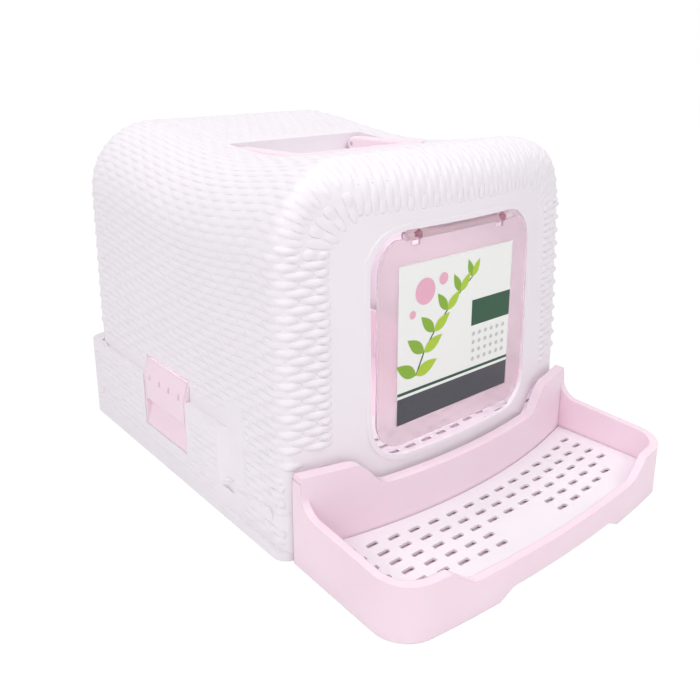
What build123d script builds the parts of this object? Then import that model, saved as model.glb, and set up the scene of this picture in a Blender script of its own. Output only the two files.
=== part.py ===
from build123d import *
import math
import os

os.makedirs("parts", exist_ok=True)

# Covered litter box in millimetres: +X to the right of its front, -Y to the front, +Z up.
# Places along the depth are measured behind the front corners of the hood.

# Hood
hood_width = 392.0
hood_depth = 430.0
hood_height = 367.0
hood_wall = 3.0
wall_draft = 0.75
roof_side_radius = 78.0
roof_back_radius = 40.0
roof_front_radius = 38.0
front_corner_radius = 16.0
saddle_depth = 22.0
saddle_place = 180.0
saddle_reach = 240.0
saddle_sections = 7
bow_radius = 640.0
bow_rise = 24.0
front_lean = 1.75
rim_proud = 5.0
rim_height = 8.0
rim_corner = 20.0
boss_height = 97.0
boss_shoulder = 21.0
boss_place = 98.0
boss_ramp = 14.0
boss_root = 10.0

# Door
door_width = 219.0
door_bottom = 77.0
door_top_drop = 72.0
door_corner = 38.0
door_bead = 5.0
bead_proud = 1.2
flap_side_gap = 6.0
flap_bottom_gap = 6.5
flap_thick = 2.5
rod_radius = 2.5
rod_drop = 6.0
knuckle_wall = 2.0
bracket_place = 58.0
bracket_width = 8.0
bracket_wall = 2.5
bracket_leg = 29.0
bracket_deep = 7.0
bracket_gap = 0.5
notch_clear = 1.0
notch_deep = 10.0
card_width = 158.0
card_height = 157.0
card_bottom = 105.0
card_thick = 0.5

# Drawer
porch_reach = 156.0
porch_width = 389.0
porch_corner = 36.0
porch_bow = 15.0
porch_wall = 8.0
porch_floor = 15.5
porch_back_level = 58.0
porch_front_level = 51.0
porch_sweep = 22.0
porch_end_drop = 5.5
lip_level = 33.0
lip_half = 118.0
lip_ramp = 34.0
notch_half = 90.0
notch_height = 9.0
notch_ramp = 18.0
drawer_wall = 3.0
front_gap = 3.5
front_thick = 11.5
front_width = 380.0
front_high = 91.0
front_low = 64.0
dip_half = 110.0
dip_ramp = 23.0
dip_radius = 22.0
apron_lap = 8.0
opening_width = 374.0
pan_width = 362.0
pan_back_gap = 14.0
pan_corner = 30.0
pan_clear = 4.0

# Grates
grate_thick = 2.5
grate_level = 20.0
grate_ledge = 4.0
grate_clear = 1.0
slot_border = 19.5
slot_long = 13.0
slot_wide = 5.0
slot_pitch = 22.8
slot_columns = 15
slot_row_pitch = 15.3
slot_rows = 5
blank_columns = 1
blank_rows = 2
inner_level = 50.0
inner_reach = 100.0
inner_rows = 6
shelf_width = 6.0

# Base
base_thick = 3.0
base_gap = 3.0
base_corner = 34.0
rest_clear = 0.3
catch_width = 60.0
catch_top = 84.0

# Studs that carry the hood on the base
stud_radius = 5.0
stud_level = 39.0
stud_front = 32.0
stud_back = 396.0
stud_head = 6.5
stud_proud = 2.0

# Carrying handle
handle_width = 184.0
handle_reach = 127.0
handle_tall = 17.0
handle_proud = 3.0
handle_tilt = 1.2
handle_corner = 24.0
arm_width = 20.0
grip_width = 27.0
handle_round = 4.0
arm_end_round = 8.4
pocket_clear = 2.0
pocket_under = 1.5
pivot_radius = 2.5

# Latches
latch_place = 225.0
window_width = 97.0
window_bottom = 37.0
window_top = 120.0
window_clear = 0.3
housing_plate = 2.6
housing_set_back = 1.0
housing_gap = 0.5
plate_drop = 1.0
cheek = 4.0
scoop_top = 67.0
scoop_lip = 3.5
lever_bottom = 70.0
lever_thick = 5.0
lever_clear = 0.3
lever_set_back = 0.8
lever_top = 116.5
latch_pin_radius = 1.5
latch_pin_level = 112.5
latch_pin_depth = 9.0
latch_knuckle = 3.2
knuckle_share = 0.7
grip_slots = 4
grip_slot_wide = 4.0
grip_slot_deep = 1.5
hook_level = 75.5
hook_tall = 3.0
hook_width = 40.0
hook_bite = 2.0
hook_clear = 1.5

# Fits
running_fit = 0.06
fixed_fit = 0.02

# Reach of the forms that cut or are cut away
past = 40.0
below = -1.0
roof_clear = 0.6

# Places that follow
front_line = (porch_reach - hood_depth) / 2
rim_back = front_line + hood_depth
wall_back = rim_back - rim_proud
saddle_y = front_line + saddle_place
bow_y = front_line - bow_rise + bow_radius
bow_axis = Axis((0, bow_y, 0), (0, 0, 1))
door_top = hood_height - door_top_drop
rod_level = door_top - rod_drop
knuckle_radius = rod_radius + knuckle_wall
face_outer = bow_radius + front_gap + front_thick
face_inner = bow_radius + front_gap
apron_high = front_high - apron_lap
apron_low = front_low - apron_lap
pan_bottom = base_thick + rest_clear


def roof_level(y):
    """Height of the roof, which dips in the middle of its depth."""
    share = max(-1.0, min(1.0, (y - saddle_y) / saddle_reach))
    return hood_height - saddle_depth * (1 + math.cos(math.pi * share)) / 2


def wall_half(level, inset):
    """Half width between the leaning side walls."""
    return hood_width / 2 - inset - level * math.tan(math.radians(wall_draft))


def bow_reach(level):
    """Radius of the bowed front, which leans back with height."""
    return bow_radius - level * math.tan(math.radians(front_lean))


def bow_place(x, level):
    """Where the bowed front stands at a place across the width."""
    return bow_y - math.sqrt(bow_reach(level) ** 2 - x**2)


# Places that follow from those forms
boss_half = hood_width / 2 + rim_proud
boss_front = front_line + boss_place
boss_taper = math.degrees(math.atan((rim_proud + hood_wall / 2) / boss_shoulder))
handle_top = roof_level(saddle_y) + handle_proud
handle_front = saddle_y - handle_reach / 2
handle_middle = handle_top - handle_tall / 2
handle_slope = math.tan(math.radians(handle_tilt))
pivot_y = saddle_y + (handle_reach - handle_tall) / 2
pivot_level = handle_middle - handle_slope * (pivot_y - handle_front)
pocket_half = handle_width / 2 + pocket_clear
pocket_floor = handle_top - handle_tall - handle_slope * handle_reach - pocket_under
latch_y = front_line + latch_place
base_half = wall_half(0, hood_wall) - base_gap
base_back = wall_back - hood_wall - base_gap
base_rim = stud_level - stud_radius - rest_clear
stud_reach = base_half - 2 * base_thick
shoulder_slope = math.tan(math.radians(boss_taper))
housing_back = base_half + housing_gap
housing_face = boss_half - housing_set_back
housing_bottom = window_bottom + window_clear
housing_top = window_top - window_clear
housing_half = window_width / 2 - window_clear
lever_outer = boss_half - lever_set_back
lever_half = housing_half - cheek - lever_clear
hook_reach = lever_outer - lever_thick / 2 - base_half + hook_bite
latch_pin_x = boss_half - latch_pin_depth
knuckle_half = knuckle_share * latch_knuckle
rod_y = bow_place(bracket_place, rod_level) + hood_wall / 2
flap_half = door_width / 2 - flap_side_gap
flap_bottom = door_bottom + flap_bottom_gap
flap_corner = door_corner - flap_side_gap
porch_front = front_line - porch_reach
front_end = bow_y - math.sqrt(face_outer**2 - (front_width / 2) ** 2)
ledge_level = grate_level - grate_thick - rest_clear
pan_half = pan_width / 2
pan_back = wall_back - hood_wall - pan_back_gap
shelf_level = inner_level - grate_thick - rest_clear
inner_half = pan_half - drawer_wall - grate_clear
inner_front = bow_reach(front_high) - hood_wall - 2 * grate_clear


def hood_block(inset, bottom):
    """The hood as a filled form, drawn in all round by an inset."""
    first = front_line - bow_rise - past
    last = wall_back - inset
    with BuildPart() as block:
        for number in range(saddle_sections):
            place = first + (last - first) * number / (saddle_sections - 1)
            top = roof_level(place) - inset
            with BuildSketch(Plane.XZ.offset(-place)) as arch:
                with BuildLine():
                    Polyline(
                        (-wall_half(bottom, inset), bottom),
                        (-wall_half(top, inset), top),
                        (wall_half(top, inset), top),
                        (wall_half(bottom, inset), bottom),
                        close=True,
                    )
                make_face()
                fillet(arch.vertices().group_by(Axis.Y)[-1], roof_side_radius - inset)
        loft()
        back_edges = block.faces().sort_by(Axis.Y)[-1].edges().sort_by(Axis.Z)[1:]
        fillet(back_edges, roof_back_radius - inset)
        crest = front_line - bow_rise + roof_front_radius
        slope = (roof_level(crest) - roof_level(crest + roof_front_radius)) / roof_front_radius
        brow_reach = bow_reach(hood_height) - inset
        brow_level = roof_level(crest) - inset + roof_clear + slope * (crest + brow_reach - bow_y)
        crest_reach = bow_y - crest - roof_front_radius
        crest_level = roof_level(crest + roof_front_radius) - inset + roof_clear
        with BuildSketch(Plane.YZ) as bow:
            with BuildLine():
                Polyline(
                    (bow_y, bottom),
                    (bow_y + bow_reach(bottom) - inset, bottom),
                    (bow_y + brow_reach, brow_level),
                    (bow_y + crest_reach, crest_level),
                    (bow_y + crest_reach, hood_height + past),
                    (bow_y, hood_height + past),
                    close=True,
                )
            make_face()
            brow = bow.vertices().sort_by_distance((bow_y + brow_reach, brow_level))[0]
            fillet(brow, roof_front_radius - inset)
        revolve(axis=bow_axis, mode=Mode.INTERSECT)
        front_face = block.faces().filter_by(GeomType.CONE).sort_by(Axis.Y)[0]
        upright_edges = front_face.edges().filter_by(GeomType.CIRCLE, reverse=True).sort_by(Axis.Z)[:2]
        fillet(upright_edges, front_corner_radius - inset)
    return block.part


def dip_outline(half, high, low, bottom):
    """Outline across the front: level ends and a lower middle, joined by S curves."""
    with BuildSketch(Plane.XZ) as outline:
        with BuildLine():
            Polyline(
                (-half, bottom),
                (-half, high),
                (-dip_half - dip_ramp, high),
                (-dip_half, low),
                (dip_half, low),
                (dip_half + dip_ramp, high),
                (half, high),
                (half, bottom),
                close=True,
            )
        make_face()
        fillet(outline.vertices().sort_by(lambda corner: abs(corner.X))[:4], dip_radius)
    return outline.sketch


def door_outline(grow):
    """Outline of the door opening, grown by a margin."""
    with BuildSketch(Plane.XZ) as outline:
        with Locations((0, (door_top + door_bottom) / 2)):
            RectangleRounded(door_width + 2 * grow, door_top - door_bottom + 2 * grow, door_corner + grow)
    return outline.sketch


def porch_outline(inset, level):
    """Plan of the porch, drawn in all round by an inset."""
    half = porch_width / 2 - inset
    back_half = front_width / 2 - inset
    front = front_line - porch_reach + inset
    side_front = front + porch_bow
    back = front_line + past
    with BuildSketch(Plane.XY.offset(level)) as outline:
        with BuildLine():
            Polyline((-half, side_front), (-back_half, back), (back_half, back), (half, side_front))
            ThreePointArc((half, side_front), (0, front), (-half, side_front))
        make_face()
        fillet(outline.vertices().group_by(Axis.Y)[0], porch_corner - inset)
    return outline.sketch


def round_back_plan(half, front, back, corner, level):
    """Plan with a square front and round back corners."""
    with BuildSketch(Plane.XY.offset(level)) as outline:
        with BuildLine():
            Polyline((-half, front), (-half, back), (half, back), (half, front), close=True)
        make_face()
        fillet(outline.vertices().group_by(Axis.Y)[-1], corner)
    return outline.sketch


def bow_drum(radius, bottom, top):
    """Upright drum on the axis of the bowed front."""
    with BuildPart() as drum:
        with Locations((0, bow_y, bottom)):
            Cylinder(radius, top - bottom, align=(Align.CENTER, Align.CENTER, Align.MIN))
    return drum.part


def keep(piece, label):
    """Name a finished piece and write its file."""
    piece.label = label
    export_step(piece, f"parts/{label}.step")


# Filled forms that several pieces share
hood_outside = hood_block(0, 0)
hood_inside = hood_block(hood_wall, below)
bead_outside = hood_block(-bead_proud, 0)
hood_drum = bow_drum(bow_radius, 0, hood_height)
through = past + bow_rise
door_face = door_outline(0)
bead_face = door_outline(door_bead)
apron_face = dip_outline(opening_width / 2, apron_high, apron_low, below)

# Hood: the bottom rim outside its walls
with BuildPart() as rim:
    extrude(round_back_plan(boss_half, front_line - past, rim_back, rim_corner, 0), amount=rim_height)
    add(hood_drum, mode=Mode.INTERSECT)
    fillet(rim.edges().filter_by(Axis.Z).group_by(Axis.Y)[0], front_corner_radius)

# Hood: thicker lower walls that carry the latches
with BuildPart() as boss:
    with BuildSketch(Plane.XY) as boss_plan:
        with BuildLine():
            Polyline(
                (-boss_half, boss_front + boss_ramp),
                (-boss_half, rim_back),
                (boss_half, rim_back),
                (boss_half, boss_front + boss_ramp),
                (boss_half - boss_root, boss_front),
                (-boss_half + boss_root, boss_front),
                close=True,
            )
        make_face()
        fillet(boss_plan.vertices().group_by(Axis.Y)[-1], rim_corner)
    extrude(amount=boss_height)
    shoulder_face = boss.faces().sort_by(Axis.Z)[-1]
    extrude(shoulder_face, amount=boss_shoulder, taper=boss_taper)

# Hood: walls of the handle pocket under the roof
with BuildPart() as pocket_box:
    with Locations((0, saddle_y, pocket_floor - hood_wall)):
        Box(
            2 * (pocket_half + hood_wall),
            handle_reach + 2 * (pocket_clear + hood_wall),
            hood_height,
            align=(Align.CENTER, Align.CENTER, Align.MIN),
        )
    add(hood_outside, mode=Mode.INTERSECT)

# Hood: raised bead round the door opening
with BuildPart() as bead:
    extrude(bead_face.moved(Location((0, front_line, 0))), amount=through, both=True)
    add(bead_outside, mode=Mode.INTERSECT)
    add(bow_drum(bow_radius - past, below, hood_height), mode=Mode.SUBTRACT)

# Hood: one shell with its openings
with BuildPart() as hood_shell:
    add(hood_outside)
    add(rim.part)
    add(boss.part)
    add(bead.part)
    add(hood_inside, mode=Mode.SUBTRACT)
    add(pocket_box.part)
    with BuildSketch(Plane.XY.offset(pocket_floor)) as pocket_plan:
        with Locations((0, saddle_y)):
            Rectangle(2 * pocket_half, handle_reach + 2 * pocket_clear)
        fillet(pocket_plan.vertices().group_by(Axis.Y)[0], handle_corner + pocket_clear)
    extrude(amount=hood_height, mode=Mode.SUBTRACT)
    extrude(door_face.moved(Location((0, front_line, 0))), amount=through, both=True, mode=Mode.SUBTRACT)
    extrude(apron_face.moved(Location((0, front_line, 0))), amount=through, both=True, mode=Mode.SUBTRACT)
    with BuildSketch(Plane.YZ) as windows:
        with Locations((latch_y, (window_top + window_bottom) / 2)):
            Rectangle(window_width, window_top - window_bottom)
    extrude(amount=hood_width, both=True, mode=Mode.SUBTRACT)
    with BuildSketch(Plane.YZ) as round_holes:
        with Locations((front_line + stud_front, stud_level), (front_line + stud_back, stud_level)):
            Circle(stud_radius + fixed_fit)
    extrude(amount=hood_width, both=True, mode=Mode.SUBTRACT)
    with BuildSketch(Plane.YZ) as pivot_holes:
        with Locations((pivot_y, pivot_level)):
            Circle(pivot_radius + fixed_fit)
    extrude(amount=pocket_half + 2 * hood_wall, both=True, mode=Mode.SUBTRACT)
keep(hood_shell.part, "hood_shell")

# Base: floor with a low rim on three sides and two slotted catch tabs
base_inside = round_back_plan(
    base_half - base_thick,
    front_line - 2 * past,
    base_back - base_thick,
    base_corner - base_thick,
    base_thick,
)
with BuildPart() as base_floor:
    extrude(round_back_plan(base_half, front_line - past, base_back, base_corner, 0), amount=base_rim)
    extrude(base_inside, amount=base_rim, mode=Mode.SUBTRACT)
    with BuildSketch(Plane.YZ) as tabs:
        with Locations((latch_y, base_thick)):
            Rectangle(catch_width, catch_top - base_thick, align=(Align.CENTER, Align.MIN))
        with Locations((latch_y, hook_level)):
            Rectangle(hook_width + 2 * hook_clear, hook_tall + 2 * hook_clear, mode=Mode.SUBTRACT)
    extrude(amount=base_half, both=True)
    extrude(base_inside, amount=catch_top, mode=Mode.SUBTRACT)
    add(hood_block(hood_wall + rest_clear, below), mode=Mode.INTERSECT)
keep(base_floor.part, "base_floor")

# Studs through the hood's walls that rest on the base's rim
stud_places = (
    (front_line + stud_front, wall_half(stud_level - stud_head, 0)),
    (front_line + stud_back, boss_half),
)
with BuildPart() as snap_studs:
    for place, face in stud_places:
        with BuildSketch(Plane.YZ.offset(stud_reach)):
            with Locations((place, stud_level)):
                Circle(stud_radius)
        extrude(amount=face - stud_reach)
        with BuildSketch(Plane.YZ.offset(face)):
            with Locations((place, stud_level)):
                Circle(stud_head)
        extrude(amount=stud_proud)
    mirror(about=Plane.YZ)
keep(snap_studs.part, "snap_studs")

# Latch housing: back plate, finger scoop and two cheeks, pressed into the window
with BuildPart() as latch_housing:
    with BuildSketch(Plane.XZ.offset(-latch_y)) as scoop:
        with BuildLine():
            Polyline(
                (housing_back, housing_bottom),
                (housing_face, housing_bottom),
                (housing_face, housing_bottom + scoop_lip),
                (housing_back + housing_plate, scoop_top),
                (housing_back + housing_plate, boss_height - plate_drop),
                (housing_back, boss_height - plate_drop),
                close=True,
            )
        make_face()
    extrude(amount=housing_half, both=True)
    for side in (-1, 1):
        with BuildSketch(Plane.XZ.offset(-latch_y - side * (housing_half - cheek / 2))) as cheek_face:
            with BuildLine():
                Polyline(
                    (housing_back, housing_bottom),
                    (housing_face, housing_bottom),
                    (housing_face, boss_height),
                    (housing_face - shoulder_slope * (housing_top - boss_height), housing_top),
                    (housing_back, housing_top),
                    close=True,
                )
            make_face()
        extrude(amount=cheek / 2, both=True)
    with BuildSketch(Plane.YZ) as hook_hole:
        with Locations((latch_y, hook_level)):
            Rectangle(hook_width + 2 * hook_clear, hook_tall + 2 * hook_clear)
    extrude(amount=hood_width, mode=Mode.SUBTRACT)
    with BuildSketch(Plane.XZ.offset(-latch_y)) as housing_bore:
        with Locations((latch_pin_x, latch_pin_level)):
            Circle(latch_pin_radius + fixed_fit)
    extrude(amount=window_width, both=True, mode=Mode.SUBTRACT)

# Latch lever: bent plate with a knuckle at its top, a hook behind and finger slots on its crest
with BuildPart() as latch_lever:
    with BuildSketch(Plane.XZ.offset(-latch_y)) as lever_face:
        with BuildLine():
            Polyline(
                (lever_outer, lever_bottom),
                (lever_outer, boss_height),
                (lever_outer - shoulder_slope * (lever_top - boss_height), lever_top),
                (latch_pin_x, latch_pin_level + latch_knuckle),
                (latch_pin_x - knuckle_half, latch_pin_level - knuckle_half),
                (lever_outer - lever_thick, boss_height - lever_thick),
                (lever_outer - lever_thick, lever_bottom),
                close=True,
            )
        make_face()
        with Locations((latch_pin_x, latch_pin_level)):
            Circle(latch_knuckle)
    extrude(amount=lever_half, both=True)
    with BuildSketch(Plane.XZ.offset(-latch_y)) as hook_face:
        with Locations((base_half - hook_bite, hook_level)):
            Rectangle(hook_reach, hook_tall, align=(Align.MIN, Align.CENTER))
    extrude(amount=hook_width / 2, both=True)
    for number in range(grip_slots):
        place = latch_y + (number - (grip_slots - 1) / 2) * 2 * lever_half / grip_slots
        with Locations((lever_outer, place, boss_height)):
            Box(2 * grip_slot_deep, grip_slot_wide, 4 * grip_slot_deep, mode=Mode.SUBTRACT)
    with BuildSketch(Plane.XZ.offset(-latch_y)) as lever_bore:
        with Locations((latch_pin_x, latch_pin_level)):
            Circle(latch_pin_radius + running_fit)
    extrude(amount=window_width, both=True, mode=Mode.SUBTRACT)

# Latch pin through the lever and both cheeks
with BuildPart() as latch_pin:
    with BuildSketch(Plane.XZ.offset(-latch_y)):
        with Locations((latch_pin_x, latch_pin_level)):
            Circle(latch_pin_radius)
    extrude(amount=housing_half, both=True)

# Handle pivot pin, fixed in the pocket's wall
with BuildPart() as handle_pin:
    with BuildSketch(Plane.YZ.offset(handle_width / 2 - arm_width)):
        with Locations((pivot_y, pivot_level)):
            Circle(pivot_radius)
    extrude(amount=arm_width + pocket_clear + hood_wall)

# Flap bracket: an ear for the rod and a leg on the back of the front panel
with BuildPart() as flap_bracket:
    with BuildSketch(Plane.YZ.offset(bracket_place)) as bracket_face:
        with Locations((rod_y, rod_level)):
            Circle(rod_radius + bracket_wall)
        with Locations((rod_y + bracket_gap, rod_level)):
            Rectangle(bracket_deep, bracket_leg, align=(Align.MIN, Align.MIN))
    extrude(amount=bracket_width / 2, both=True)
    add(hood_shell.part, mode=Mode.SUBTRACT)
    with BuildSketch(Plane.YZ) as bracket_bore:
        with Locations((rod_y, rod_level)):
            Circle(rod_radius + fixed_fit)
    extrude(amount=door_width, mode=Mode.SUBTRACT)

for label, piece in (
    ("latch_housing", latch_housing.part),
    ("latch_lever", latch_lever.part),
    ("latch_pin", latch_pin.part),
    ("handle_pin", handle_pin.part),
    ("flap_bracket", flap_bracket.part),
):
    keep(mirror(piece, about=Plane.YZ), f"{label}_left")
    keep(piece, f"{label}_right")

# Rod that the flap hangs on
with BuildPart() as flap_rod:
    with BuildSketch(Plane.YZ):
        with Locations((rod_y, rod_level)):
            Circle(rod_radius)
    extrude(amount=bracket_place + bracket_width, both=True)
keep(flap_rod.part, "flap_rod")

# Clear flap with a knuckle along its top edge, notched for the brackets
with BuildPart() as door_flap:
    with BuildSketch(Plane.XZ.offset(-rod_y)) as sheet:
        with Locations((0, (flap_bottom + rod_level) / 2)):
            RectangleRounded(2 * flap_half, rod_level - flap_bottom, flap_corner)
    extrude(amount=flap_thick / 2, both=True)
    with BuildSketch(Plane.YZ) as knuckle:
        with Locations((rod_y, rod_level)):
            Circle(knuckle_radius)
    extrude(amount=flap_half - flap_corner, both=True)
    with BuildSketch(Plane.XZ.offset(-rod_y)) as notches:
        with Locations((-bracket_place, rod_level), (bracket_place, rod_level)):
            Rectangle(bracket_width + 2 * notch_clear, 2 * notch_deep)
    extrude(amount=3 * knuckle_radius, both=True, mode=Mode.SUBTRACT)
    with BuildSketch(Plane.YZ) as flap_bore:
        with Locations((rod_y, rod_level)):
            Circle(rod_radius + running_fit)
    extrude(amount=door_width, both=True, mode=Mode.SUBTRACT)
keep(door_flap.part, "door_flap")

# Printed card on the front of the flap
with BuildPart() as door_card:
    with BuildSketch(Plane.XZ.offset(-rod_y + flap_thick / 2)):
        with Locations((0, card_bottom + card_height / 2)):
            Rectangle(card_width, card_height)
    extrude(amount=card_thick)
keep(door_card.part, "door_card")

# Carrying handle: flat bail with its grip to the front, tilted down to its pivots at the back
with BuildPart() as flat_handle:
    with BuildSketch(Plane.XY.offset(handle_top - handle_tall)) as bail:
        with Locations((0, saddle_y)):
            Rectangle(handle_width, handle_reach)
        fillet(bail.vertices().group_by(Axis.Y)[0], handle_corner)
    extrude(amount=handle_tall)
    with BuildSketch(Plane.XY.offset(handle_top - handle_tall)) as hand_space:
        with Locations((0, handle_front + grip_width)):
            Rectangle(handle_width - 2 * arm_width, handle_reach, align=(Align.CENTER, Align.MIN))
        fillet(hand_space.vertices().group_by(Axis.Y)[0], handle_corner / 2)
    extrude(amount=handle_tall, mode=Mode.SUBTRACT)
    back_ends = flat_handle.faces().filter_by(Axis.Y).sort_by(Axis.Y)[-2:].edges().filter_by(Axis.X)
    fillet(back_ends, arm_end_round)
    fillet(flat_handle.edges().group_by(Axis.Z)[-1], handle_round)
with BuildPart() as carry_handle:
    add(flat_handle.part.rotate(Axis((0, handle_front, handle_middle), (1, 0, 0)), -handle_tilt))
    with BuildSketch(Plane.YZ) as handle_bore:
        with Locations((pivot_y, pivot_level)):
            Circle(pivot_radius + running_fit)
    extrude(amount=handle_width, both=True, mode=Mode.SUBTRACT)
keep(carry_handle.part, "carry_handle")

# Drawer front: hollow bowed wall that stands before the hood and dips in the middle
front_face = dip_outline(front_width / 2, front_high, front_low, 0)
hollow_face = dip_outline(
    front_width / 2 - drawer_wall,
    front_high - drawer_wall,
    front_low - drawer_wall,
    below,
)
ahead = Location((0, front_line, 0))
with BuildPart() as front_hollow:
    extrude(hollow_face.moved(ahead), amount=2 * through, both=True)
    add(bow_drum(face_outer - drawer_wall, below, front_high), mode=Mode.INTERSECT)
    add(bow_drum(face_inner + drawer_wall, below, front_high), mode=Mode.SUBTRACT)
with BuildPart() as drawer_front:
    extrude(front_face.moved(ahead), amount=2 * through, both=True)
    add(bow_drum(face_outer, 0, front_high), mode=Mode.INTERSECT)
    add(bow_drum(face_inner, 0, front_high), mode=Mode.SUBTRACT)
    add(front_hollow.part, mode=Mode.SUBTRACT)

# Drawer porch: tray outside with sloping sides and a low lip in front
with BuildPart() as porch_space:
    extrude(porch_outline(porch_wall, ledge_level), amount=front_high)
    add(bow_drum(face_outer, 0, 2 * front_high), mode=Mode.SUBTRACT)
with BuildPart() as porch_well:
    extrude(porch_outline(porch_wall + grate_ledge, porch_floor), amount=front_high)
    add(bow_drum(face_outer + grate_ledge, 0, 2 * front_high), mode=Mode.SUBTRACT)
with BuildPart() as porch_under:
    extrude(porch_outline(drawer_wall, below), amount=porch_floor - drawer_wall - below)
    add(bow_drum(face_outer, below, front_high), mode=Mode.SUBTRACT)
with BuildPart() as porch:
    extrude(porch_outline(0, 0), amount=front_high)
    with BuildSketch(Plane.YZ) as side_view:
        with BuildLine():
            Polyline(
                (front_line + past, 0),
                (front_line + past, front_high - porch_end_drop),
                (front_end, front_high - porch_end_drop),
                (front_end, porch_back_level),
                (porch_front, porch_front_level),
                (porch_front, 0),
                close=True,
            )
        make_face()
        fillet(side_view.vertices().sort_by_distance((front_end, porch_back_level))[0], porch_sweep)
    extrude(amount=porch_width, both=True, mode=Mode.INTERSECT)
    with BuildSketch(Plane.XZ.offset(-porch_front)) as lip:
        with BuildLine():
            Polyline(
                (-lip_half - lip_ramp, porch_back_level),
                (-lip_half, lip_level),
                (lip_half, lip_level),
                (lip_half + lip_ramp, porch_back_level),
                close=True,
            )
        make_face()
        fillet(lip.vertices().group_by(Axis.Y)[0], lip_ramp / 2)
    extrude(amount=-porch_reach / 2, mode=Mode.SUBTRACT)
    with BuildSketch(Plane.XZ.offset(-porch_front)) as notch:
        with BuildLine():
            Polyline(
                (-notch_half, below),
                (-notch_half + notch_ramp, notch_height),
                (notch_half - notch_ramp, notch_height),
                (notch_half, below),
                close=True,
            )
        make_face()
        fillet(notch.vertices().group_by(Axis.Y)[-1], notch_ramp)
    extrude(amount=-porch_corner / 2, mode=Mode.SUBTRACT)
    add(bow_drum(face_inner, 0, front_high), mode=Mode.SUBTRACT)
    add(porch_space.part, mode=Mode.SUBTRACT)
    add(porch_well.part, mode=Mode.SUBTRACT)
    add(porch_under.part, mode=Mode.SUBTRACT)
    add(front_hollow.part, mode=Mode.SUBTRACT)

# Drawer pan: litter tray inside the hood, whose back wall dips to pass under the front panel
pan_face = dip_outline(pan_half, apron_high - pan_clear, apron_low - pan_clear, pan_bottom)
with BuildPart() as pan_space:
    extrude(
        round_back_plan(
            pan_half - drawer_wall,
            front_line - past,
            pan_back - drawer_wall,
            pan_corner - drawer_wall,
            pan_bottom + drawer_wall,
        ),
        amount=front_high,
    )
    add(bow_drum(face_inner, 0, 2 * front_high), mode=Mode.INTERSECT)
with BuildPart() as pan:
    extrude(pan_face.moved(ahead), amount=hood_depth, both=True)
    add(bow_drum(face_inner + drawer_wall / 2, 0, front_high), mode=Mode.INTERSECT)
    extrude(
        round_back_plan(pan_half, front_line - past, pan_back, pan_corner, 0),
        amount=front_high,
        mode=Mode.INTERSECT,
    )
    add(pan_space.part, mode=Mode.SUBTRACT)
    with Locations((pan_half - drawer_wall, front_line - bow_rise, shelf_level)):
        Box(
            shelf_width,
            inner_reach + bow_rise,
            drawer_wall,
            align=(Align.MAX, Align.MIN, Align.MAX),
        )
    with Locations((drawer_wall - pan_half, front_line - bow_rise, shelf_level)):
        Box(
            shelf_width,
            inner_reach + bow_rise,
            drawer_wall,
            align=(Align.MIN, Align.MIN, Align.MAX),
        )
    add(bow_drum(face_inner + drawer_wall / 2, 0, front_high), mode=Mode.INTERSECT)
with BuildPart() as drawer:
    add(drawer_front.part)
    add(porch.part)
    add(pan.part)
keep(drawer.part, "drawer")

# Front grate: slotted plate on the porch's ledge
with BuildPart() as front_grate:
    extrude(porch_outline(porch_wall + grate_clear, grate_level - grate_thick), amount=grate_thick)
    add(bow_drum(face_outer + grate_clear, 0, hood_height), mode=Mode.SUBTRACT)
    with BuildSketch(Plane.XY.offset(grate_level - grate_thick)) as front_slots:
        for row in range(slot_rows):
            reach = face_outer + slot_border + row * slot_row_pitch
            for column in range(slot_columns):
                x = (column - (slot_columns - 1) / 2) * slot_pitch
                in_blank = row >= slot_rows - blank_rows and abs(x) < (blank_columns + 0.5) * slot_pitch
                past_corner = row == slot_rows - 1 and abs(x) > porch_width / 2 - porch_corner
                if not in_blank and not past_corner:
                    with Locations((x, bow_y - math.sqrt(reach**2 - x**2))):
                        RectangleRounded(slot_long, slot_wide, slot_wide / 4)
    extrude(amount=grate_thick, mode=Mode.SUBTRACT)
keep(front_grate.part, "front_grate")

# Inner grate: slotted step in the pan behind the door
with BuildPart() as inner_grate:
    with BuildSketch(Plane.XY.offset(inner_level - grate_thick)) as step_plan:
        with Locations((0, front_line + inner_reach)):
            Rectangle(2 * inner_half, inner_reach + past, align=(Align.CENTER, Align.MAX))
    extrude(amount=grate_thick)
    add(bow_drum(inner_front, 0, front_high), mode=Mode.INTERSECT)
    with BuildSketch(Plane.XY.offset(inner_level - grate_thick)) as inner_slots:
        for row in range(inner_rows):
            reach = inner_front - slot_border / 2 - row * slot_row_pitch
            for column in range(slot_columns):
                x = (column - (slot_columns - 1) / 2) * slot_pitch
                y = bow_y - math.sqrt(reach**2 - x**2)
                if y < front_line + inner_reach - slot_wide * 2:
                    with Locations((x, y)):
                        RectangleRounded(slot_long, slot_wide, slot_wide / 4)
    extrude(amount=grate_thick, mode=Mode.SUBTRACT)
keep(inner_grate.part, "inner_grate")
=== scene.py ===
import math

import bpy
import numpy as np
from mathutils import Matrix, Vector
from mathutils.bvhtree import BVHTree


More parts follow.
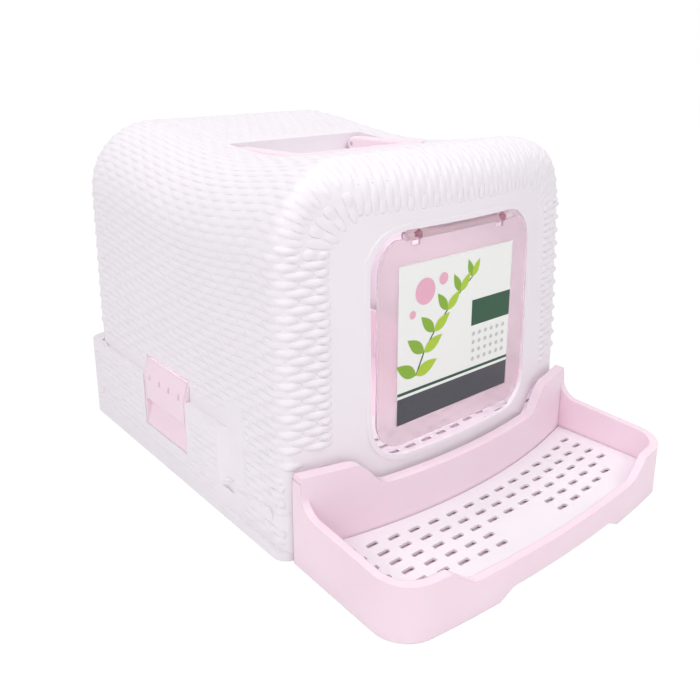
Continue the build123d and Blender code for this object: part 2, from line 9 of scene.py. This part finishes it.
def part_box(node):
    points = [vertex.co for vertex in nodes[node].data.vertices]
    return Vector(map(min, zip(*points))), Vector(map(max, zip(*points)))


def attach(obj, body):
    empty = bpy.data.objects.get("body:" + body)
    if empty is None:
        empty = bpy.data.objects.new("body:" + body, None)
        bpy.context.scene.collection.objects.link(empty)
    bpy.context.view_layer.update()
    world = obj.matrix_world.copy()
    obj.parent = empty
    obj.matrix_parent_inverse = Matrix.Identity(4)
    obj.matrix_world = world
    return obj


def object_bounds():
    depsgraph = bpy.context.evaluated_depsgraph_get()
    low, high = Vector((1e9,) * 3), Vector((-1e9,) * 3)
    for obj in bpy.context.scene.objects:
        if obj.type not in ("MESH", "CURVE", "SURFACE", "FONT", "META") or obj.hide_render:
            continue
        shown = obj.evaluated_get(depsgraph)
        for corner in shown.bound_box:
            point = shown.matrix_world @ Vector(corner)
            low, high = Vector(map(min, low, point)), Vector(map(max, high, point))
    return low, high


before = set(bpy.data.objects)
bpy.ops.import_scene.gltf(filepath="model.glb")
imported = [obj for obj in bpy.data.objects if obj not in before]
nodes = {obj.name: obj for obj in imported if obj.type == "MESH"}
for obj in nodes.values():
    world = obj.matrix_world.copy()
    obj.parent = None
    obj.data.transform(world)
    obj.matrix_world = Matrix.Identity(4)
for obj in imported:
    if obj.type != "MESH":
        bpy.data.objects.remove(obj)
cad_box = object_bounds()

# The viewpoint: before the left front corner of the box, a little above it and looking down.
# The lens, place and turn were fitted to points of the object.
# A small shift of the lens keeps its upright edges nearly upright.
eye = Vector((-0.5440, -0.6388, 0.4548))
turn, dip = math.radians(39.808), math.radians(15.857)
gaze = Vector((math.sin(turn) * math.cos(dip), math.cos(turn) * math.cos(dip), -math.sin(dip)))
bpy.ops.object.camera_add(location=eye, rotation=gaze.to_track_quat("-Z", "Y").to_euler())
camera = bpy.context.object
sensor, focal_pixels, image_pixels = 36.0, 784.6, 700.0
camera.data.sensor_width = sensor
camera.data.lens = sensor * focal_pixels / image_pixels
camera.data.shift_y = -0.12
bpy.context.scene.camera = camera
bpy.context.scene.view_settings.view_transform = "Standard"


# The base: a shallow pink tray on the floor that the drawer runs in and the hood is latched to.
# Injection-moulded polypropylene has a soft satin gloss, a fine grain from the mould
# and a faint unevenness of colour.
def linear(code):
    """Turns an sRGB hex colour to linear values."""
    parts = [int(code[i : i + 2], 16) / 255 for i in (1, 3, 5)]
    return [p / 12.92 if p <= 0.04045 else ((p + 0.055) / 1.055) ** 2.4 for p in parts] + [1.0]


def add_node(tree, kind, inputs, **settings):
    """Adds a node with its settings, its values and the links that come into it."""
    made = tree.nodes.new(kind)
    for name, value in settings.items():
        setattr(made, name, value)
    for name, value in inputs.items():
        if isinstance(value, bpy.types.NodeSocket):
            tree.links.new(value, made.inputs[name])
        else:
            made.inputs[name].default_value = value
    return made


def moulded_polypropylene(name, pale, deep, rough, glow, edge):
    """Satin moulded plastic: clouds of two near colours, about 60 mm across, over a mould grain."""
    cloud_size = 0.060
    # The real grain is about 0.2 mm; it is drawn at 0.7 mm so that it shows.
    grain_size, grain_depth = 0.0007, 0.0002
    gloss_spread = 0.05
    made = bpy.data.materials.new(name)
    made.use_nodes = True
    tree = made.node_tree
    surface = tree.nodes["Principled BSDF"]
    place = add_node(tree, "ShaderNodeTexCoord", {})
    clouds = add_node(
        tree,
        "ShaderNodeTexNoise",
        {"Vector": place.outputs["Object"], "Scale": 1 / cloud_size, "Detail": 2.0},
    )
    colour = add_node(
        tree,
        "ShaderNodeMix",
        {"Factor": clouds.outputs["Fac"], "A": linear(pale), "B": linear(deep)},
        data_type="RGBA",
    )
    grain = add_node(
        tree,
        "ShaderNodeTexNoise",
        {"Vector": place.outputs["Object"], "Scale": 1 / grain_size, "Detail": 1.0},
    )
    gloss = add_node(
        tree,
        "ShaderNodeMapRange",
        {
            "Value": clouds.outputs["Fac"],
            "To Min": rough - gloss_spread,
            "To Max": rough + gloss_spread,
        },
    )
    # Moulded edges are never sharp: they catch the light over a small width.
    edges = add_node(tree, "ShaderNodeBevel", {"Radius": edge}, samples=4)
    dents = add_node(
        tree,
        "ShaderNodeBump",
        {
            "Height": grain.outputs["Fac"],
            "Strength": 0.08,
            "Distance": grain_depth,
            "Normal": edges.outputs["Normal"],
        },
    )
    tree.links.new(colour.outputs["Result"], surface.inputs["Base Color"])
    tree.links.new(gloss.outputs["Result"], surface.inputs["Roughness"])
    tree.links.new(dents.outputs["Normal"], surface.inputs["Normal"])
    surface.inputs["IOR"].default_value = 1.49
    # The tinted sort lets a little light through, so its shadows stay pale; the white is opaque.
    surface.inputs["Subsurface Weight"].default_value = glow
    surface.inputs["Subsurface Radius"].default_value = (1.0, 0.45, 0.55)
    surface.inputs["Subsurface Scale"].default_value = 0.004
    return made


def dress(name, material):
    """Gives a CAD piece its finish."""
    data = nodes[name].data
    data.materials.clear()
    data.materials.append(material)


pink_plastic = moulded_polypropylene(
    "pink_polypropylene", "#FCE5F0", "#FADFEC", rough=0.42, glow=0.3, edge=0.0015
)
dress("base_floor", pink_plastic)

# The drawer: litter pan, bowed front wall and porch in one moulding of the same pink polypropylene.
# It lies loose in the base and slides out at the front.
dress("drawer", pink_plastic)

# The two grates: white slotted plates, one on the porch's ledge and one on the pan's shelves.
# They are moulded of white polypropylene and lie in place by their own weight.
white_plastic = moulded_polypropylene(
    "white_polypropylene", "#F5EFF5", "#F1EBF1", rough=0.45, glow=0.0, edge=0.0
)
dress("front_grate", white_plastic)
dress("inner_grate", white_plastic)

# The hood: one white moulding of polypropylene with a smooth front panel, latched to the base.
# The weave on its roof, sides and back is moulded too, as rows of short strands
# that run from front to back and turn round the front edge.
dress("hood_shell", white_plastic)
bpy.ops.object.select_all(action="DESELECT")
skin = BVHTree.FromObject(nodes["hood_shell"], bpy.context.evaluated_depsgraph_get())
# Rows of strands on each side wall, round each shoulder and across the roof.
wall_rows, round_rows, roof_rows = 35, 16, 30
all_lines = 2 * (wall_rows + round_rows) + roof_rows
shoulder = 0.078
first_level = 0.014
foot_half_width, side_lean = 0.196, math.radians(0.75)
roof_top, roof_dip, dip_place, dip_half_length = 0.367, 0.022, 0.043, 0.240
# The straight part of the hood, and how far the strands reach inwards past its two ends.
edge_front, edge_back = -0.085, 0.225
border, back_border = 0.046, 0.034
strand_step = 0.028
along_step = 0.001


def roof_level(y):
    """Height of the roof, which dips in the middle."""
    share = max(-1.0, min(1.0, (y - dip_place) / dip_half_length))
    return roof_top - roof_dip * (1 + math.cos(math.pi * share)) / 2


def side_place(level):
    """Half width between the leaning sides."""
    return foot_half_width - level * math.tan(side_lean)


def arch(line, y):
    """A point on the hood's section and the way out, by line from the left foot to the right."""
    if line > all_lines / 2:
        point, way = arch(all_lines - line, y)
        return Vector((-point.x, y, point.z)), Vector((-way.x, 0, way.z))
    top = roof_level(y)
    spring = top - shoulder
    middle = side_place(top) - shoulder
    if line < wall_rows:
        level = first_level + (spring - first_level) * line / wall_rows
        return Vector((-side_place(level), y, level)), Vector((-1, 0, 0))
    if line < wall_rows + round_rows:
        angle = math.pi / 2 * (line - wall_rows) / round_rows
        way = Vector((-math.cos(angle), 0, math.sin(angle)))
        return Vector((-middle, y, spring)) + shoulder * way, way
    across = -middle + 2 * middle * (line - wall_rows - round_rows) / roof_rows
    return Vector((across, y, top)), Vector((0, 0, 1))


edge_round = 0.052
fan_steps, fan_turn, fan_reach = 75, math.radians(88), 0.25


def fan(line, y, ahead, reach):
    """Points on the skin round the hood's front or back edge, from the side inwards."""
    point, way = arch(line, y)
    hub = point - edge_round * way
    found = []
    for step in range(1, fan_steps + 1):
        angle = fan_turn * step / fan_steps
        ray = math.cos(angle) * way + math.sin(angle) * Vector((0, ahead, 0))
        place, _, _, _ = skin.ray_cast(hub + fan_reach * ray, -ray, fan_reach)
        if place is None or (point - place).dot(way) > reach:
            break
        found.append(place)
    return found


def depth_in(place):
    """How far a place on the front lies inside the hood's outline, at its rounded corners."""
    top = roof_level(edge_front)
    x, z = abs(place[0]) - side_place(top) + shoulder, place[2] - top + shoulder
    return shoulder - math.hypot(x, z) if min(x, z) > -0.001 else 0.0


# Wider rows fill the two rounded corners of the woven border.
corner_rows, corner_start, corner_bulge = 8, 0.020, 0.014


def corner_line(line):
    """The skin along a line between two rows of a rounded corner, from outside in."""
    start = wall_rows if line <= corner_rows else all_lines - wall_rows - round_rows
    turned = 1 - (line % (corner_rows + 1)) / corner_rows
    reach = border + corner_bulge * math.sin(math.pi * turned)
    run = fan(start + round_rows * turned, edge_front, -1, reach)
    return [place for place in run if depth_in(place) > corner_start]


round_steps = 79


def round_line(line):
    """The skin along a line between two rows: round the front, along the hood, round the back."""
    middle = []
    for step in range(round_steps + 1):
        point, way = arch(line, edge_front + (edge_back - edge_front) * step / round_steps)
        place, _, _, _ = skin.ray_cast(point + 0.02 * way, -way, 0.04)
        middle.append(place or point)
    front = fan(line, edge_front, -1, border)[::-1]
    return front + middle + fan(line, edge_back, 1, back_border)


back_rows, back_row_height, back_foot = 26, 0.0076, 0.130
back_steps, back_step, back_half_width = 100, 0.0030, 0.150


def back_line(line):
    """The skin along a level line across the hood's back."""
    level = back_foot + back_row_height * line
    found = []
    for step in range(back_steps + 1):
        behind = Vector((-back_half_width + back_step * step, 0.4, level))
        place, _, _, _ = skin.ray_cast(behind, Vector((0, -1, 0)), 0.3)
        found.append(place)
    return found


def even_steps(run):
    """A run of points at even steps along its length."""
    run = np.array(run)
    length = np.concatenate([[0], np.cumsum(np.linalg.norm(np.diff(run, axis=0), axis=1))])
    grid = np.arange(0, length[-1], along_step)
    return np.stack([np.interp(grid, length, run[:, i]) for i in range(3)], 1)


def is_woven(place, way):
    """False where the hood is plain: round its fittings, at its rim and on its front panel."""
    x, y, z = place
    at_window = 0.0340 < y < 0.1420 and 0.031 < z < 0.126
    at_stud = min(math.hypot(y + 0.105, z - 0.039), math.hypot(y - 0.259, z - 0.039)) < 0.0105
    # The thick wall round the latches has a plain upright edge and a plain shoulder.
    at_wall_edge = -0.061 < y < -0.033 and z < 0.125
    on_wall_shoulder = y > -0.09 and z < 0.125 and max(way[2], abs(way[1])) > 0.2
    if abs(x) > 0.18 and (at_window or at_stud or at_wall_edge or on_wall_shoulder):
        return False
    in_handle_pocket = abs(x) < 0.100 and -0.030 < y < 0.124 and z > 0.30
    on_front_panel = way[1] < -0.6 and (z < 0.103 or depth_in(place) > corner_start)
    on_rim = z <= 0.012 or y >= 0.2895
    return not (in_handle_pocket or on_front_panel or on_rim)


def is_back_woven(place, way):
    """False at the upper corners of the back, where the strands from the sides end."""
    x, z = abs(place[0]) - 0.113, place[2] - 0.287
    return not (min(x, z) > 0 and math.hypot(x, z) > 0.040)


def is_corner_woven(place, way):
    """True all over: the lines of a corner end where its weave ends."""
    return True


# The length of strand that shows between two stakes: a round bar whose ends dive.
bpy.ops.mesh.primitive_uv_sphere_add(segments=12, ring_count=8, radius=1.0)
bar = bpy.context.object
bar_points = np.array([v.co for v in bar.data.vertices])
bar_faces = [tuple(f.vertices) for f in bar.data.polygons]
bpy.data.objects.remove(bar)
# Its long axis is the sphere's; the ends are squared off, and what is below the skin is thin.
bar_along = bar_points[:, 2]
bar_round = np.sqrt(np.maximum(1e-9, bar_points[:, 0] ** 2 + bar_points[:, 1] ** 2))
bar_across = bar_points[:, 0] / bar_round * (1 - bar_along**2) ** 0.4
bar_rise = np.abs(bar_points[:, 1]) / bar_round * (1 - bar_along**2)
bar_up = np.sign(bar_points[:, 1]) * bar_rise**2.0
bar_up = np.where(bar_up < 0, 0.3 * bar_up, bar_up)
# Each strand stands out most along its lower edge, so a thin shadow lies under it.
bar_hang = 0.2 * np.maximum(bar_up, 0)


# Highest on the border round the front, lower elsewhere, least on the thick wall round the latches.
border_height, brow_height = 0.0032, 0.0012
side_height, roof_height = 0.0018, 0.0012
thick_wall_height, thick_wall_face = 0.0005, 0.1975
border_end, roof_start = -0.100, 0.29
bar_half_length, bar_half_width, fewest_spots = 0.52, 0.5, 7


def bar_height(place):
    """How far a bar at a place stands out of the skin."""
    if abs(place[0]) > thick_wall_face:
        return thick_wall_height
    if place[1] < border_end:
        return border_height if place[2] < roof_start else brow_height
    return side_height if place[2] < roof_start else roof_height


def weave(name, first_line, last_line, trace, shows):
    """Lays brick-wise bars between the lines of a band and joins them to one piece."""
    lines = [even_steps(trace(line)) for line in range(first_line, last_line + 1)]
    longest = max(len(line) for line in lines)
    grid = np.stack(
        [np.pad(line, ((0, longest - len(line)), (0, 0)), mode="edge") for line in lines]
    )
    out = np.cross(np.gradient(grid, axis=0), np.gradient(grid, axis=1))
    out = out / np.maximum(np.linalg.norm(out, axis=2), 1e-12)[:, :, None]
    points, faces = [], []
    for row in range(len(lines) - 1):
        size = min(len(lines[row]), len(lines[row + 1]))
        middle = (grid[row, :size] + grid[row + 1, :size]) / 2
        woven = [shows(place, way) for place, way in zip(middle, out[row, :size])]
        for number in range(-1, int(size * along_step / strand_step) + 2):
            low = (number + 0.5 * ((first_line + row) % 2)) * strand_step
            high = low + strand_step
            spots = [i for i in range(size) if low < i * along_step < high and woven[i]]
            # A bar that would hardly show, or that would bridge a plain place, is left out.
            if len(spots) < fewest_spots or spots[-1] - spots[0] >= len(spots):
                continue
            centre = (spots[0] + spots[-1]) / 2
            reach = bar_half_length * (spots[-1] - spots[0] + 1)
            u = np.clip(centre + reach * bar_along, 0, size - 1.001)
            down = -1.0 if trace is back_line else np.sign(middle[spots[0]][0])
            spread = bar_half_width * (bar_across + down * bar_hang)
            v = np.clip(row + 0.5 + spread, 0, len(lines) - 1.001)
            iu, iv = u.astype(int), v.astype(int)
            fu, fv = (u - iu)[:, None], (v - iv)[:, None]
            at, way = [
                (g[iv, iu] * (1 - fu) + g[iv, iu + 1] * fu) * (1 - fv)
                + (g[iv + 1, iu] * (1 - fu) + g[iv + 1, iu + 1] * fu) * fv
                for g in (grid, out)
            ]
            base = len(points) * len(bar_points)
            height = bar_height(middle[spots[len(spots) // 2]])
            points.append(at + way * (height * bar_up)[:, None])
            faces.extend(tuple(base + i for i in f) for f in bar_faces)
    data = bpy.data.meshes.new(name)
    # Nothing stands out of the box of the CAD model.
    data.from_pydata(np.clip(np.concatenate(points), *cad_box).tolist(), [], faces)
    data.materials.append(white_plastic)
    piece = bpy.data.objects.new(name, data)
    bpy.context.scene.collection.objects.link(piece)
    data.shade_smooth()
    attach(piece, "hood")


side_lines = wall_rows + round_rows
weave("weave_left", 0, side_lines, round_line, is_woven)
weave("weave_top", side_lines, side_lines + roof_rows, round_line, is_woven)
weave("weave_right", side_lines + roof_rows, all_lines, round_line, is_woven)
weave("weave_back", 0, back_rows, back_line, is_back_woven)
weave("weave_corner_left", 0, corner_rows, corner_line, is_corner_woven)
weave("weave_corner_right", corner_rows + 1, 2 * corner_rows + 1, corner_line, is_corner_woven)

# The hood's studs: short white pegs of the same polypropylene, low on its sides.
# They are pressed through its walls.
dress("snap_studs", white_plastic)

# The latches: in each side wall a pink housing with a finger scoop, and a lever hooked to the base.
# Both are moulded of polypropylene; the lever turns on a steel pin.
for side in ("left", "right"):
    dress("latch_housing_" + side, pink_plastic)
    dress("latch_lever_" + side, pink_plastic)

# The carrying handle: a flat bail that lies in the roof's pocket and folds up on two pins.
# It is moulded of the pink polypropylene.
dress("carry_handle", pink_plastic)

# The pins of the handle and latches, pressed into the hood: plain lengths of drawn steel wire.
# Drawing leaves it bright, with fine scratches along its length.
drawn_steel = bpy.data.materials.new("drawn_steel_wire")
drawn_steel.use_nodes = True
tree = drawn_steel.node_tree
place = add_node(tree, "ShaderNodeTexCoord", {})
# The real scratches are finer; they are drawn 5 mm long and 0.5 mm apart so that they show.
scratch_length, scratch_gap = 0.005, 0.0005
stretch = add_node(
    tree,
    "ShaderNodeMapping",
    {
        "Vector": place.outputs["Object"],
        "Scale": (1 / scratch_length, 1 / scratch_gap, 1 / scratch_gap),
    },
)
scratches = add_node(
    tree, "ShaderNodeTexNoise", {"Vector": stretch.outputs["Vector"], "Scale": 1.0}
)
polish = add_node(
    tree,
    "ShaderNodeMapRange",
    {"Value": scratches.outputs["Fac"], "To Min": 0.25, "To Max": 0.45},
)
steel = tree.nodes["Principled BSDF"]
steel.inputs["Base Color"].default_value = linear("#C9CACC")
steel.inputs["Metallic"].default_value = 1.0
tree.links.new(polish.outputs["Result"], steel.inputs["Roughness"])
for name in ("latch_pin_left", "latch_pin_right", "handle_pin_left", "handle_pin_right"):
    dress(name, drawn_steel)

# The flap: a clear sheet that swings on a rod in two ears behind the front panel.
# It is moulded of polystyrene: clear and glossy, with a faint haze in patches about 30 mm across.
clear_sheet = bpy.data.materials.new("clear_polystyrene")
clear_sheet.use_nodes = True
tree = clear_sheet.node_tree
sheet = tree.nodes["Principled BSDF"]
place = add_node(tree, "ShaderNodeTexCoord", {})
haze_size = 0.030
haze = add_node(
    tree,
    "ShaderNodeTexNoise",
    {"Vector": place.outputs["Object"], "Scale": 1 / haze_size, "Detail": 2.0},
)
haze_range = add_node(
    tree,
    "ShaderNodeMapRange",
    {"Value": haze.outputs["Fac"], "To Min": 0.08, "To Max": 0.16},
)
tree.links.new(haze_range.outputs["Result"], sheet.inputs["Roughness"])
sheet.inputs["Base Color"].default_value = linear("#EFE3E7")
sheet.inputs["Transmission Weight"].default_value = 0.7
sheet.inputs["IOR"].default_value = 1.2
# Light falls through the sheet into the hood.
through = add_node(tree, "ShaderNodeBsdfTransparent", {"Color": linear("#F1DFE5")})
rays = add_node(tree, "ShaderNodeLightPath", {})
lit = add_node(
    tree,
    "ShaderNodeMixShader",
    {0: rays.outputs["Is Shadow Ray"], 1: sheet.outputs[0], 2: through.outputs[0]},
)
tree.links.new(lit.outputs[0], tree.nodes["Material Output"].inputs["Surface"])
dress("door_flap", clear_sheet)
# The rod and its ears are of the clearest sort, hardly seen against the sheet.
clear_rod = clear_sheet.copy()
clear_rod.name = "clear_polystyrene_rod"
blend = next(node for node in clear_rod.node_tree.nodes if node.type == "MIX_SHADER")
clear_rod.node_tree.links.remove(blend.inputs[0].links[0])
blend.inputs[0].default_value = 0.75
for name in ("flap_rod", "flap_bracket_left", "flap_bracket_right"):
    dress(name, clear_rod)


# The card on the flap: coated white board, printed with a plain leaf sprig, bands, discs and dots.
# It is fixed to the front of the sheet; the coating gives it and the ink a smooth sheen.
def coated_board(name, pale, deep):
    """Coated board or ink on it: a smooth sheen and a mottle about 3 mm across."""
    mottle_size = 0.003
    made = bpy.data.materials.new(name)
    made.use_nodes = True
    tree = made.node_tree
    surface = tree.nodes["Principled BSDF"]
    place = add_node(tree, "ShaderNodeTexCoord", {})
    mottle = add_node(
        tree,
        "ShaderNodeTexNoise",
        {"Vector": place.outputs["Object"], "Scale": 1 / mottle_size, "Detail": 3.0},
    )
    colour = add_node(
        tree,
        "ShaderNodeMix",
        {"Factor": mottle.outputs["Fac"], "A": linear(pale), "B": linear(deep)},
        data_type="RGBA",
    )
    tree.links.new(colour.outputs["Result"], surface.inputs["Base Color"])
    surface.inputs["Roughness"].default_value = 0.35
    return made


dress("door_card", coated_board("coated_board", "#F8F9F7", "#F2F4F1"))


def disc(x, z, radius):
    """Outline of a round spot."""
    angles = [a * math.pi / 16 for a in range(32)]
    return [(x + radius * math.cos(a), z + radius * math.sin(a)) for a in angles]


def leaf(x, z, angle, length, width):
    """Outline of a pointed leaf that starts at a place and grows at an angle."""
    c, d = math.cos(math.radians(angle)), math.sin(math.radians(angle))
    steps = [i / 10 for i in range(11)]
    edge = [(length * t, width / 2 * math.sin(math.pi * t**0.8)) for t in steps]
    edge += [(u, -v) for u, v in edge[-2:0:-1]]
    return [(x + u * c - v * d, z + u * d + v * c) for u, v in edge]


def bar_outline(x, z, width, height):
    """Outline of an upright rectangle from its lower left corner."""
    return [(x, z), (x + width, z), (x + width, z + height), (x, z + height)]


# Places on the print are in millimetres from the card's lower left corner, 158 wide and 157 high.
sprig = [(24 + 10 * t + 6 * t * t, 46 + 30 * t) for t in (0.0, 0.7, 1.3, 1.9, 2.4, 2.8)]
leaves = [
    leaf(x, z, side, 30 - 2 * n, 13 - n)
    for n, (x, z) in enumerate(sprig)
    for side in (150 - 8 * n, 20 + 8 * n)
]
stem = [(x - 1, z) for x, z in sprig] + [(x + 1, z) for x, z in reversed(sprig)]
bands = [bar_outline(100, 78, 58, 27), bar_outline(0, 30, 158, 3)]
round_spots = [disc(34, 128, 13), disc(58, 136, 6), disc(18, 108, 4)]
dots = [disc(104 + 9 * i, 42 + 9 * j, 2.2) for i in range(6) for j in range(4)]
print_inks = (
    ("charcoal_ink", "#454A50", "#3D4248", [bar_outline(0, 0, 158, 27)]),
    ("deep_green_ink", "#0F5132", "#0B472B", bands + [stem]),
    ("leaf_green_ink", "#8CB82B", "#7FAD22", leaves[0::2]),
    ("pale_green_ink", "#B4D334", "#A8C92C", leaves[1::2]),
    ("pink_ink", "#F0B6CB", "#EBABC3", round_spots),
    ("grey_ink", "#C9CDCD", "#C1C5C5", dots),
)
card_low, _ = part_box("door_card")
ink_thick = 0.00004
points, faces, kinds = [], [], []
for number, (_, _, _, shapes) in enumerate(print_inks):
    for shape in shapes:
        faces.append(tuple(range(len(points), len(points) + len(shape))))
        kinds.append(number)
        front = card_low[1] - ink_thick * (number + 1)
        points += [(card_low[0] + x / 1000, front, card_low[2] + z / 1000) for x, z in shape]
print_mesh = bpy.data.meshes.new("card_print")
print_mesh.from_pydata(points, [], faces)
for name, pale, deep, _ in print_inks:
    print_mesh.materials.append(coated_board(name, pale, deep))
print_mesh.polygons.foreach_set("material_index", kinds)
card_print = bpy.data.objects.new("card_print", print_mesh)
bpy.context.scene.collection.objects.link(card_print)
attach(card_print, "flap")

# The room: a floor of white paper that fades into a white background, and wide soft lamps.
# Floor and background are white to the eye, in gloss and through the clear sheet;
# a small share of the floor takes the lamps' light, so a faint shadow stays.
def seen_rays(tree):
    """One for what is seen straight, in gloss or through a clear sheet, else nought."""
    rays = add_node(tree, "ShaderNodeLightPath", {})
    seen = rays.outputs["Is Camera Ray"]
    for kind in ("Is Transmission Ray", "Is Glossy Ray"):
        inputs = {0: seen, 1: rays.outputs[kind]}
        seen = add_node(tree, "ShaderNodeMath", inputs, operation="ADD", use_clamp=True).outputs[0]
    return seen


bpy.ops.mesh.primitive_plane_add(size=12.0, location=(0, 0, -0.0005))
floor = bpy.context.object
floor.name = "floor"
floor_paper = bpy.data.materials.new("white_paper_sweep")
floor_paper.use_nodes = True
tree = floor_paper.node_tree
paper = tree.nodes["Principled BSDF"]
paper.inputs["Base Color"].default_value = linear("#F4F4F4")
paper.inputs["Roughness"].default_value = 0.9
glow = add_node(tree, "ShaderNodeEmission", {"Color": (1, 1, 1, 1), "Strength": 1.06})
share = add_node(tree, "ShaderNodeMath", {0: seen_rays(tree), 1: 0.90}, operation="MULTIPLY")
mixed = add_node(
    tree,
    "ShaderNodeMixShader",
    {0: share.outputs[0], 1: paper.outputs[0], 2: glow.outputs[0]},
)
tree.links.new(mixed.outputs[0], tree.nodes["Material Output"].inputs["Surface"])
floor.data.materials.append(floor_paper)

world = bpy.data.worlds.new("studio")
bpy.context.scene.world = world
world.use_nodes = True
tree = world.node_tree
room = tree.nodes["Background"]
room.inputs["Color"].default_value = (1, 1, 1, 1)
level = add_node(
    tree, "ShaderNodeMapRange", {"Value": seen_rays(tree), "To Min": 0.48, "To Max": 1.0}
)
tree.links.new(level.outputs["Result"], room.inputs["Strength"])


def soft_lamp(name, place, size, power):
    """A wide square lamp that points at the object's middle."""
    towards = Vector((0, 0, 0.18)) - Vector(place)
    turned = towards.to_track_quat("-Z", "Y").to_euler()
    bpy.ops.object.light_add(type="AREA", location=place, rotation=turned)
    lamp = bpy.context.object
    lamp.name = name
    lamp.data.shape = "SQUARE"
    lamp.data.size = size
    lamp.data.energy = power


soft_lamp("key_lamp", (0.5, -1.5, 2.1), 1.0, 14.1)
soft_lamp("top_lamp", (-0.1, 0.2, 2.6), 1.0, 12.5)
soft_lamp("side_lamp", (-1.8, -0.2, 1.8), 1.0, 13.3)
soft_lamp("low_lamp", (-1.2, -1.5, 0.7), 1.0, 4)
# Daylight also comes through the thin walls; a lamp under the roof stands in for it.
bpy.ops.object.light_add(type="AREA", location=(0, 0.08, 0.300))
cabin_lamp = bpy.context.object
cabin_lamp.name = "cabin_lamp"
cabin_lamp.data.size = 0.2
cabin_lamp.data.energy = 0.55
